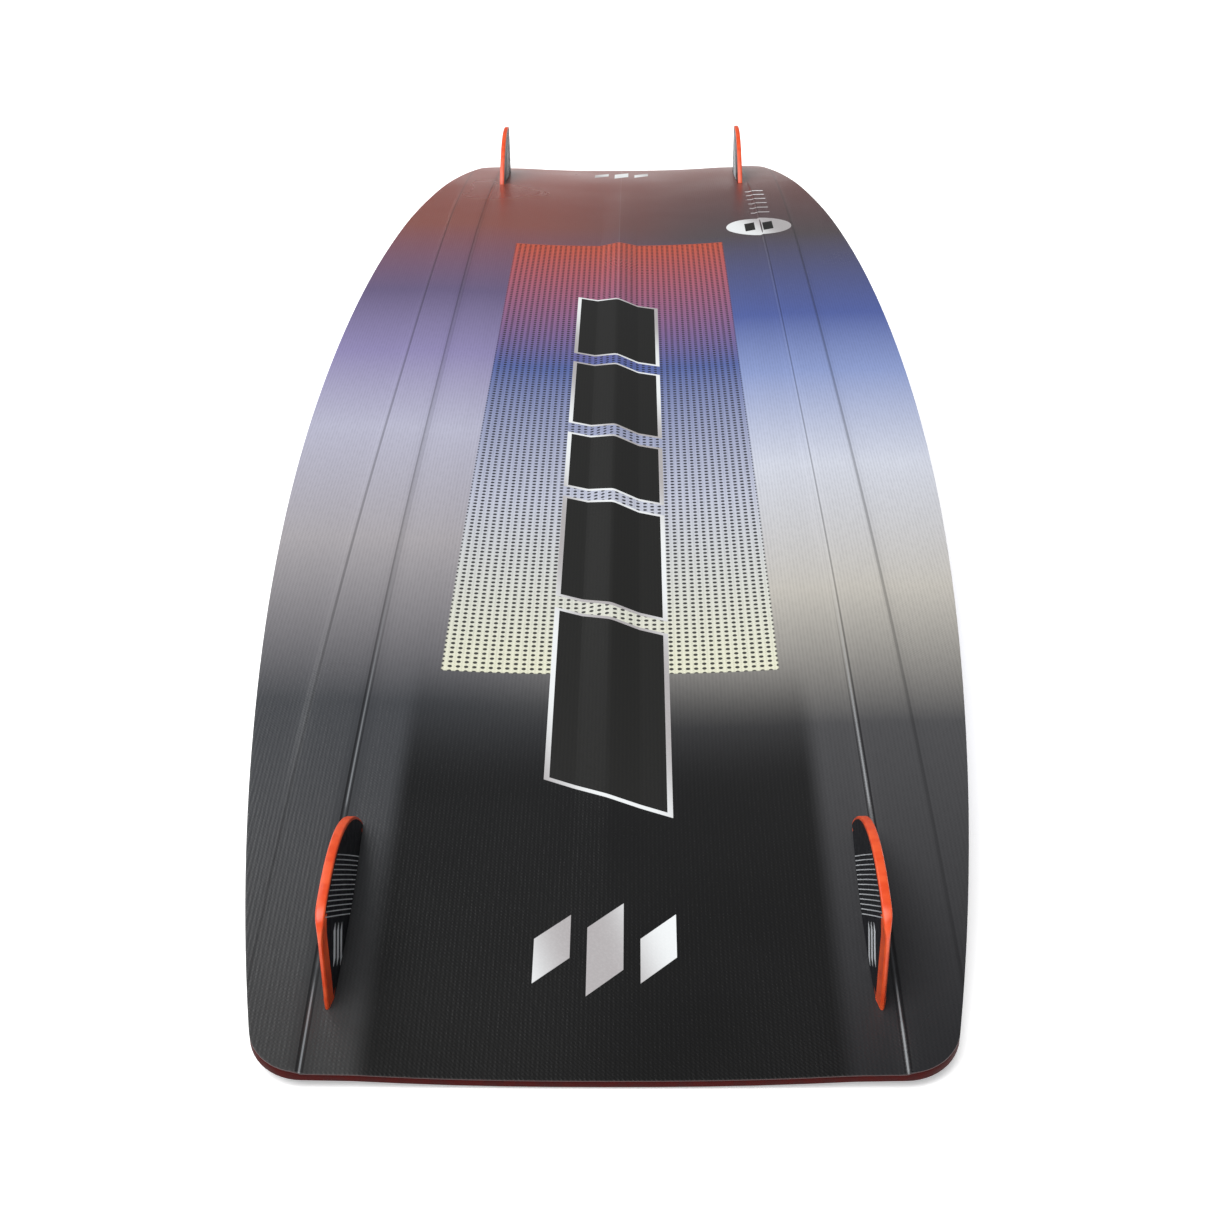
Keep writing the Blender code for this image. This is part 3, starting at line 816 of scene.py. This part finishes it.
def edge_path(side):
    """Half of the outline from the middle of one tip to the other: points and outward normals."""
    path = [(CORNER_X * i / TIP_CELLS, HALF_LENGTH, 0, 1) for i in range(TIP_CELLS)]
    for i in range(CORNER_CELLS + 1):
        angle = math.pi / 2 + (ARC_LEAN - math.pi / 2) * i / CORNER_CELLS
        path.append((CORNER_X + CORNER_RADIUS * math.cos(angle),
                     CORNER_Y + CORNER_RADIUS * math.sin(angle), math.cos(angle),
                     math.sin(angle)))
    for i in range(1, SIDE_ROWS + 1):
        y = ARC_START * (1 - i / SIDE_ROWS)
        lean = side_lean(y)
        path.append((half_width(y), y, math.cos(lean), math.sin(lean)))
    path += [(x, -y, a, -b) for x, y, a, b in reversed(path[:-1])]
    return [(side * x, y, side * a, b) for x, y, a, b in path]


def rail_section(x, y):
    """The rail's outline at one place, as (distance inwards, height) pairs."""
    top = base_height(x, y) - SHEET - GAP / 3
    low = deck_height(x, y) + 2 * DECK_LIFT
    upper_bed = top - LAMINATE - 2 * GAP
    lower_bed = deck_height(x, y) + SHEET + LAMINATE + 2 * GAP
    return [
        (RAIL_LIP, top), (0.0001, top - 0.0002), (0, top - 0.0005),
        (0, low + RAIL_CHAMFER), (0.0001, low + RAIL_CHAMFER * 0.7),
        (RAIL_LOW_LIP * 0.7, low), (RAIL_LOW_LIP, low),
        (RAIL_LOW_LIP, lower_bed), (RAIL_WIDTH, lower_bed),
        (RAIL_WIDTH, upper_bed), (RAIL_LIP, upper_bed),
    ]


def rail_ring(x, y, out_x, out_y):
    """The rail's outline at one place on the edge. Each point follows the board's slope there."""
    ring = []
    for i, (inset, _) in enumerate(rail_section(x, y)):
        inner_x = x - out_x * inset
        inner_y = y - out_y * inset
        ring.append(Vector((inner_x, inner_y, rail_section(inner_x, inner_y)[i][1])))
    return ring


def build_rails():
    for name, side in (("rail_left", -1), ("rail_right", 1)):
        shape = bmesh.new()
        rings = []
        for x, y, out_x, out_y in edge_path(side):
            rings.append([shape.verts.new(point) for point in rail_ring(x, y, out_x, out_y)])
        for low, high in zip(rings, rings[1:]):
            for i in range(len(low)):
                k = (i + 1) % len(low)
                shape.faces.new((low[i], low[k], high[k], high[i]))
        shape.faces.new(rings[0])
        shape.faces.new(rings[-1])
        bmesh.ops.recalc_face_normals(shape, faces=shape.faces)
        rail = new_piece(f"{name}_fine", mesh_from(shape, name), RAIL)
        shade(rail, 50)
        add(rail, "rail", name)


# ---------------------------------------------------------------- fins

FIN_CENTRE = (FIN_LENGTH * 0.56, FIN_HEIGHT * 0.32)


def fin_height(u):
    """Height of the fin's edge above the base, at u along it."""
    if u <= FIN_PEAK:
        return FIN_HEIGHT * (1 - (1 - max(u, 0) / FIN_PEAK)**2.2)**0.9
    across = min((u - FIN_PEAK) / (FIN_LENGTH - FIN_PEAK), 1)
    return FIN_HEIGHT - FIN_SHOULDER * (1 - math.sqrt(1 - across**3))


def fin_edge():
    """The fin's edge from the foot of its nose to the foot of its heel, with outward normals."""
    nose = [FIN_PEAK * (i / NOSE_CELLS)**1.6 for i in range(NOSE_CELLS + 1)]
    tail = FIN_LENGTH - FIN_PEAK
    turn = [FIN_PEAK + tail * math.sin(math.pi / 2 * i / SHOULDER_CELLS)
            for i in range(1, SHOULDER_CELLS + 1)]
    points = [(u, fin_height(u)) for u in nose + turn]
    heel = points[-1][1]
    points += [(FIN_LENGTH, heel * (1 - i / HEEL_CELLS)) for i in range(1, HEEL_CELLS + 1)]
    edge = []
    for i, (u, h) in enumerate(points):
        before = points[max(i - 1, 0)]
        after = points[min(i + 1, len(points) - 1)]
        along = Vector((after[0] - before[0], after[1] - before[1])).normalized()
        edge.append((u, h, -along.y, along.x))
    edge[0] = (*points[0], -1, 0)
    edge[-1] = (*points[-1], 1, 0)
    return edge


def fin_ring(edge, inset, scale=1.0):
    """The closed outline of a fin's face, moved inwards, then scaled towards its middle."""
    ring = [(u - a * inset, max(h - b * inset, 0)) for u, h, a, b in edge]
    foot_cells = 20
    start, end = ring[-1][0], ring[0][0]
    ring += [(start + (end - start) * i / foot_cells, 0) for i in range(1, foot_cells)]
    middle_u, middle_h = FIN_CENTRE
    return [(middle_u + (u - middle_u) * scale, middle_h + (h - middle_h) * scale)
            for u, h in ring]


def fin_half_thickness(u, h):
    """Half the thickness of the faces. The heel's foot narrows to a rounded point."""
    middle = max(4 * u * (FIN_LENGTH - u) / FIN_LENGTH**2, 0)
    up = min(h / max(fin_height(u), 0.001), 1)
    towards_end = min(max(1 - (FIN_LENGTH - u) / FIN_POINT, 0), 1)
    narrowing = 1 - FIN_NARROW * towards_end**2.2
    return FIN_THICK / 2 * narrowing + FIN_BULGE * middle * (1 - up**2)


def fin_point(end, side, u, h, reach, lift=0.0):
    """A point of a fin. reach is the share of its half thickness, negative on the inner face."""
    across = fin_half_thickness(u, h) * reach + math.copysign(lift, reach)
    x = FIN_X + across
    y = end * (FIN_START + u)
    return side * x, y, base_height(x, y) + GAP / 3 + h


def build_fin(name, end, side):
    edge = fin_edge()
    shape = bmesh.new()
    half = FIN_THICK / 2
    rounded = []
    for degrees in (0, 30, 60, 90):
        angle = math.radians(degrees)
        inset = FIN_ROUND * (1 - math.cos(angle))
        rounded.append((inset, 1.0, 1 - FIN_ROUND * (1 - math.sin(angle)) / half))
    sunk = 1 - FACE_STEP / half
    faces = [(FIN_ROUND + FACE_INSET, 1.0, 1.0), (FIN_ROUND + FACE_INSET + 0.0001, 1.0, sunk)]
    faces += [(FIN_ROUND + FACE_INSET, scale, sunk) for scale in (0.9, 0.75, 0.55, 0.35, 0.18)]
    stations = rounded + faces
    order = [(inset, scale, -reach) for inset, scale, reach in reversed(stations)] + stations
    rings = []
    for inset, scale, reach in order:
        rings.append([shape.verts.new(fin_point(end, side, u, h, reach))
                      for u, h in fin_ring(edge, inset, scale)])
    count = len(rings[0])
    orange = range(len(faces) - 1, len(order) - len(faces))
    for number, (low, high) in enumerate(zip(rings, rings[1:])):
        for i in range(count):
            k = (i + 1) % count
            face = shape.faces.new((low[i], low[k], high[k], high[i]))
            along = abs(face.calc_center_median().y) - FIN_START
            under = len(edge) <= i < count - 1
            printed = (under or number not in orange) and along < FACE_END
            face.material_index = 1 if printed else 0
    for ring, reach in ((rings[0], -sunk), (rings[-1], sunk)):
        middle = shape.verts.new(fin_point(end, side, *FIN_CENTRE, reach))
        for i in range(count):
            face = shape.faces.new((ring[i], ring[(i + 1) % count], middle))
            face.material_index = 1
    bmesh.ops.remove_doubles(shape, verts=shape.verts, dist=0.000001)
    bmesh.ops.recalc_face_normals(shape, faces=shape.faces)
    fin = new_piece(f"{name}_fine", mesh_from(shape, name), ORANGE, FIN_FACE)
    shade(fin, 40)
    add(fin, "fin", name)


def strip(shape, place, start, finish, width, shades):
    """A thin closed strip between two (u, h) points of a fin's face, with a shade at each end."""
    layer = shape.verts.layers.float["shade"]
    steps = 8
    rows = []
    for i in range(steps + 1):
        t = i / steps
        u = start[0] + (finish[0] - start[0]) * t
        h = start[1] + (finish[1] - start[1]) * t
        row = []
        for lift, offset in ((MARK_LIFT, -width / 2), (MARK_LIFT, width / 2),
                             (0.00001, width / 2), (0.00001, -width / 2)):
            vert = shape.verts.new(place(u + offset, h, lift))
            vert[layer] = shades[0] + (shades[1] - shades[0]) * t
            row.append(vert)
        rows.append(row)
    for low, high in zip(rows, rows[1:]):
        for i in range(4):
            k = (i + 1) % 4
            shape.faces.new((low[i], low[k], high[k], high[i]))
    shape.faces.new(rows[0])
    shape.faces.new(rows[-1])


def build_fin_stripes(name, end, side):
    """Slanted silver stripes on both faces, and three short bars near the heel."""
    shape = bmesh.new()
    shape.verts.layers.float.new("shade")
    for across in (-1, 1):
        def place(u, h, lift, across=across):
            return fin_point(end, side, u, h, across, lift)

        for number in range(STRIPES):
            foot = STRIPE_START + STRIPE_GAP * number
            rise = 0.0
            while rise < fin_height(foot + STRIPE_LEAN * rise) - STRIPE_MARGIN:
                rise += STRIPE_STEP
            start = (foot + STRIPE_LEAN * STRIPE_STEP, STRIPE_STEP)
            finish = (foot + STRIPE_LEAN * rise, rise)
            strip(shape, place, start, finish, STRIPE_WIDTH, STRIPE_SHADES)
        for number in range(3):
            u = FIN_MARK[0] + FIN_MARK_GAP[0] * (number - 1)
            h = FIN_MARK[1] + FIN_MARK_GAP[1] * (number - 1)
            strip(shape, place, (u - FIN_MARK_RUN[0], h - FIN_MARK_RUN[1]),
                  (u + FIN_MARK_RUN[0], h + FIN_MARK_RUN[1]), FIN_MARK_WIDTH,
                  (FIN_MARK_SHADE, FIN_MARK_SHADE))
    bmesh.ops.recalc_face_normals(shape, faces=shape.faces)
    stripes = new_piece(f"{name}_stripes", mesh_from(shape, name + "_stripes"), STRIPE)
    add(stripes, "fin")


def build_fins():
    for end, end_name in ((-1, "near"), (1, "far")):
        for side, side_name in ((-1, "left"), (1, "right")):
            name = f"fin_{end_name}_{side_name}"
            build_fin(name, end, side)
            build_fin_stripes(name, end, side)


# ---------------------------------------------------------------- hardware

def screw_profile(length, radius):
    """Tip at the top, because the screws are driven upwards from the deck."""
    lip = 0.0003
    return [
        (0, length), (radius * 0.7, length), (radius, length - radius * 0.4), (radius, 0),
        (HEAD_RADIUS - lip, 0), (HEAD_RADIUS, -lip), (HEAD_RADIUS, -HEAD_HEIGHT * 0.45),
        (HEAD_RADIUS * 0.94, -HEAD_HEIGHT * 0.72), (HEAD_RADIUS * 0.80, -HEAD_HEIGHT * 0.92),
        (HEAD_RADIUS * 0.62, -HEAD_HEIGHT), (SOCKET_RADIUS + 0.0002, -HEAD_HEIGHT),
        (SOCKET_RADIUS, -HEAD_HEIGHT + 0.0002), (SOCKET_RADIUS, -HEAD_HEIGHT + SOCKET_DEPTH),
        (0, -HEAD_HEIGHT + SOCKET_DEPTH + 0.0004),
    ]


def washer_profile(bore):
    lip = 0.0002
    return [
        (bore, WASHER_THICK), (WASHER_RADIUS - lip, WASHER_THICK),
        (WASHER_RADIUS, WASHER_THICK - lip), (WASHER_RADIUS, lip), (WASHER_RADIUS - lip, 0),
        (bore + lip, 0), (bore, lip),
    ]


def insert_profile():
    lip = 0.0004
    return [
        (0, INSERT_LENGTH), (INSERT_RADIUS, INSERT_LENGTH), (INSERT_RADIUS, lip * 0.5),
        (INSERT_RADIUS - lip * 0.5, 0), (INSERT_BORE + lip, 0), (INSERT_BORE, lip),
        (INSERT_BORE, INSERT_LENGTH * 0.85), (0, INSERT_LENGTH * 0.85),
    ]


def build_hardware():
    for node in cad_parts:
        low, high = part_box(node)
        x, y = ((low + high) / 2).xy
        if node.endswith("_screw"):
            radius = HANDLE_SCREW_RADIUS if node.startswith("handle") else FIN_SCREW_RADIUS
            length = high.z - low.z - HEAD_HEIGHT
            piece = turned(node + "_fine", screw_profile(length, radius),
                           (x, y, low.z + HEAD_HEIGHT), STEEL)
            add(piece, "steel", node)
        elif node.endswith("_washer"):
            bore = HANDLE_WASHER_BORE if node.startswith("handle") else FIN_WASHER_BORE
            add(turned(node + "_fine", washer_profile(bore), (x, y, low.z), STEEL), "steel", node)
        elif "insert" in node:
            add(turned(node + "_fine", insert_profile(), (x, y, low.z), BRASS), "insert", node)


def handle_stations():
    """Pairs of (y, drop) points along the handle: its hand side and its outer side."""
    low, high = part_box("grab_handle")
    drop = high.z - low.z
    inner_span = HANDLE_HALF_SPAN - HANDLE_THICK
    pairs = []
    for i in range(HANDLE_STEPS + 1):
        angle = math.pi * i / HANDLE_STEPS
        swing = math.copysign(abs(math.cos(angle))**0.65, math.cos(angle))
        fall = math.sin(angle)**0.75
        grip = GRIP_DEPTH * (1 + math.cos(2 * math.pi * HANDLE_RIBS * swing))
        grip *= abs(swing) < GRIP_REACH
        inner = (inner_span * swing, -(drop - HANDLE_THICK) * fall)
        outer = (HANDLE_HALF_SPAN * swing, -drop * fall + grip)
        pairs.append((inner, outer))
    foot_end = HANDLE_HALF_SPAN + HANDLE_FOOT
    feet = [foot_end, foot_end - 0.002, foot_end - 0.012, HANDLE_HALF_SPAN + 0.004]
    drops = [-HANDLE_FOOT_THICK + 0.001] + [-HANDLE_FOOT_THICK] * 3
    before = [((y, 0), (y, fall)) for y, fall in zip(feet, drops)]
    pairs[0] = ((inner_span, 0), (HANDLE_HALF_SPAN + 0.002, -HANDLE_FOOT_THICK))
    pairs[-1] = ((-inner_span, 0), (-HANDLE_HALF_SPAN - 0.002, -HANDLE_FOOT_THICK))
    after = [((-a, b), (-c, d)) for (a, b), (c, d) in reversed(before)]
    return before + pairs + after


def build_handle():
    low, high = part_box("grab_handle")
    centre_x = (low.x + high.x) / 2
    half = (high.x - low.x) / 2
    shape = bmesh.new()
    rings = []
    for inner, outer in handle_stations():
        ring = []
        for i in range(HANDLE_SIDES):
            angle = 2 * math.pi * (i + 0.5) / HANDLE_SIDES
            across = math.copysign(abs(math.cos(angle))**0.3, math.cos(angle))
            depth = 0.5 + 0.5 * math.copysign(abs(math.sin(angle))**0.45, math.sin(angle))
            y = inner[0] + (outer[0] - inner[0]) * depth
            z = inner[1] + (outer[1] - inner[1]) * depth
            ring.append(shape.verts.new((centre_x + half * across, y, high.z + z)))
        rings.append(ring)
    for one, other in zip(rings, rings[1:]):
        for i in range(HANDLE_SIDES):
            k = (i + 1) % HANDLE_SIDES
            shape.faces.new((one[i], one[k], other[k], other[i]))
    shape.faces.new(rings[0])
    shape.faces.new(rings[-1])
    bmesh.ops.recalc_face_normals(shape, faces=shape.faces)
    handle = new_piece("grab_handle_fine", mesh_from(shape, "grab_handle_fine"), RUBBER)
    shade(handle, 45)
    add(handle, "handle", "grab_handle")


# ---------------------------------------------------------------- printed marks

BLOCK_HALF = 0.0290
BLOCK_BORDER = 0.0027
BLOCK_SLOPE = -0.45      # the blocks' ends slant across the board
BLOCKS = ((-0.520, 0.150), (-0.352, 0.120), (-0.213, 0.080), (-0.112, 0.110), (0.020, 0.120))


def evenly(low, high, step):
    count = max(math.ceil((high - low) / step), 1)
    return [low + (high - low) * i / count for i in range(count + 1)]


def ink_patch(name, half, low, high, slope, lift, finish, centre_x=0.0):
    """A thin slanted patch of ink that follows the base, centred on centre_x."""
    creases = [x for c in SPINE_COLUMNS for x in (-c, c) if abs(x - centre_x) < half]
    even = evenly(centre_x - half, centre_x + half, 0.004)
    apart = [x for x in even if all(abs(x - c) > 0.001 for c in creases)]
    columns = sorted(apart + creases)

    def place(x, y):
        slanted = y + slope * (x - centre_x)
        return x, slanted, base_height(x, slanted) + lift

    def under(point):
        return point.x, point.y, point.z - MARK_SHEET

    patch = thin_sheet(name, lambda y: columns, evenly(low, high, 0.006), place, under, finish)
    shade(patch, 40)
    return add(patch, "printed_sheet")


def build_blocks():
    """Plain slanted blocks down the middle of the panel, each with a silver border."""
    for number, (start, length) in enumerate(BLOCKS, start=1):
        border = BLOCK_BORDER
        ink_patch(f"panel_block_{number}_border", BLOCK_HALF + border, start - border,
                  start + length + border, BLOCK_SLOPE, MARK_LIFT, SILVER)
        ink_patch(f"panel_block_{number}", BLOCK_HALF, start, start + length, BLOCK_SLOPE,
                  2 * MARK_LIFT, BLACK)


TIP_MARKS = (("near", -0.620, 0.074, 0.039), ("far", 0.633, 0.064, 0.035))  # Y, width, length
TIP_MARK_SLOPE = 0.9


def build_tip_marks():
    """Three slanted silver bars at each tip."""
    for name, middle, width, height in TIP_MARKS:
        for number in (-1, 0, 1):
            centre_x = number * width * 0.32
            long = height * (1 - 0.35 * abs(number)) / 2
            ink_patch(f"tip_mark_{name}_{number + 2}", width * 0.11, middle - long,
                      middle + long, TIP_MARK_SLOPE, MARK_LIFT, SILVER, centre_x)


BADGE = (0.1247, 0.3456, 0.0290)    # X, Y and radius
BADGE_BAR_SHIFT = 0.008
BADGE_BAR_HALF_WIDTH = 0.0045
BADGE_BAR_HALF_LENGTH = 0.013
BADGE_BAR_SLOPE = 0.6
TICKS = 6
TICK_HALF_WIDTH = 0.0085
TICK_LENGTH = 0.0035
TICK_X = 0.129
TICK_START = 0.395
TICK_GAP = 0.0195


def build_badge():
    """A plain silver disc with two slanted bars, and a row of short ticks beyond it."""
    centre_x, centre_y, radius = BADGE
    across = evenly(-1, 1, 0.1)

    def place(a, b):
        x = centre_x + radius * a * math.sqrt(1 - b * b / 2)
        y = centre_y + radius * b * math.sqrt(1 - a * a / 2)
        return x, y, base_height(x, y) + MARK_LIFT

    def under(point):
        return point.x, point.y, point.z - MARK_SHEET

    disc = thin_sheet("badge_disc", lambda b: across, across, place, under, SILVER)
    shade(disc, 40)
    add(disc, "printed_sheet")
    for number, shift in enumerate((-BADGE_BAR_SHIFT, BADGE_BAR_SHIFT), start=1):
        ink_patch(f"badge_bar_{number}", BADGE_BAR_HALF_WIDTH, centre_y - BADGE_BAR_HALF_LENGTH,
                  centre_y + BADGE_BAR_HALF_LENGTH, BADGE_BAR_SLOPE, 2 * MARK_LIFT, BLACK,
                  centre_x + shift)
    for number in range(TICKS):
        y = TICK_START + TICK_GAP * number
        ink_patch(f"badge_tick_{number + 1}", TICK_HALF_WIDTH, y, y + TICK_LENGTH, 0.0,
                  MARK_LIFT, SILVER, TICK_X)


# ---------------------------------------------------------------- studio

FLOOR_HALF = 12          # metres
FLOOR_GAP = 0.0005
FLOOR_GLOW = 0.42        # lightens the shadow under the board
SKY_COLOUR = (0.97, 0.98, 1.0, 1)
SKY_STRENGTH = 0.15
SUN_STRENGTH = 3.1
SUN_SPREAD = 50          # degrees
SUN_TURN = (18, -16)


def area_light(name, place, aim, size, power):
    lamp = bpy.data.lights.new(name, "AREA")
    lamp.shape = "RECTANGLE"
    lamp.size, lamp.size_y = size
    lamp.energy = power
    obj = bpy.data.objects.new(name, lamp)
    obj.location = place
    obj.rotation_euler = (Vector(aim) - Vector(place)).to_track_quat("-Z", "Y").to_euler()
    bpy.context.scene.collection.objects.link(obj)


def build_studio():
    shape = bmesh.new()
    bmesh.ops.create_grid(shape, x_segments=4, y_segments=4, size=FLOOR_HALF)
    floor = new_piece("floor", mesh_from(shape, "floor"), floor_material())
    floor.location.z = CAD_BOX[0].z - FLOOR_GAP
    world = bpy.data.worlds.new("studio")
    world.use_nodes = True
    world.node_tree.nodes["Background"].inputs[0].default_value = SKY_COLOUR
    world.node_tree.nodes["Background"].inputs[1].default_value = SKY_STRENGTH
    bpy.context.scene.world = world
    key = bpy.data.lights.new("key", "SUN")
    key.energy = SUN_STRENGTH
    key.angle = math.radians(SUN_SPREAD)
    sun = bpy.data.objects.new("key", key)
    sun.rotation_euler = (math.radians(SUN_TURN[0]), math.radians(SUN_TURN[1]), 0)
    bpy.context.scene.collection.objects.link(sun)
    area_light("sheen", place=(-1.6, 1.2, 2.2), aim=(0, 0, 0), size=(1.5, 1.5), power=21)


def build_camera():
    yaw, pitch, roll = (math.radians(a) for a in (CAMERA_YAW, CAMERA_PITCH, CAMERA_ROLL))
    ahead = Vector((math.sin(yaw) * math.cos(pitch), math.cos(yaw) * math.cos(pitch),
                    -math.sin(pitch)))
    right = Vector((math.cos(yaw), -math.sin(yaw), 0))
    up = right.cross(ahead)
    rolled_right = right * math.cos(roll) + up * math.sin(roll)
    rolled_up = up * math.cos(roll) - right * math.sin(roll)
    camera = bpy.data.objects.new("camera", bpy.data.cameras.new("camera"))
    camera.data.lens = CAMERA_LENS
    camera.data.sensor_width = 36
    camera.data.shift_x = CAMERA_SHIFT
    place = Vector(CAMERA_PLACE) + Vector((0, 0, RISE))
    turn = Matrix((rolled_right, rolled_up, -ahead)).transposed()
    camera.matrix_world = Matrix.Translation(place) @ turn.to_4x4()
    bpy.context.scene.collection.objects.link(camera)
    bpy.context.scene.camera = camera


def finish_packed_nodes():
    """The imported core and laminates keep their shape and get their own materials."""
    for node, finish in (("wood_core", WOOD), ("bottom_laminate", GLASS), ("top_laminate", GLASS)):
        for slot in bpy.data.objects[node].material_slots:
            slot.material = finish


build_skins()
build_rails()
build_fins()
build_hardware()
build_handle()
build_blocks()
build_tip_marks()
build_badge()
finish_packed_nodes()
build_studio()
build_camera()
bpy.context.scene.view_settings.view_transform = "Standard"
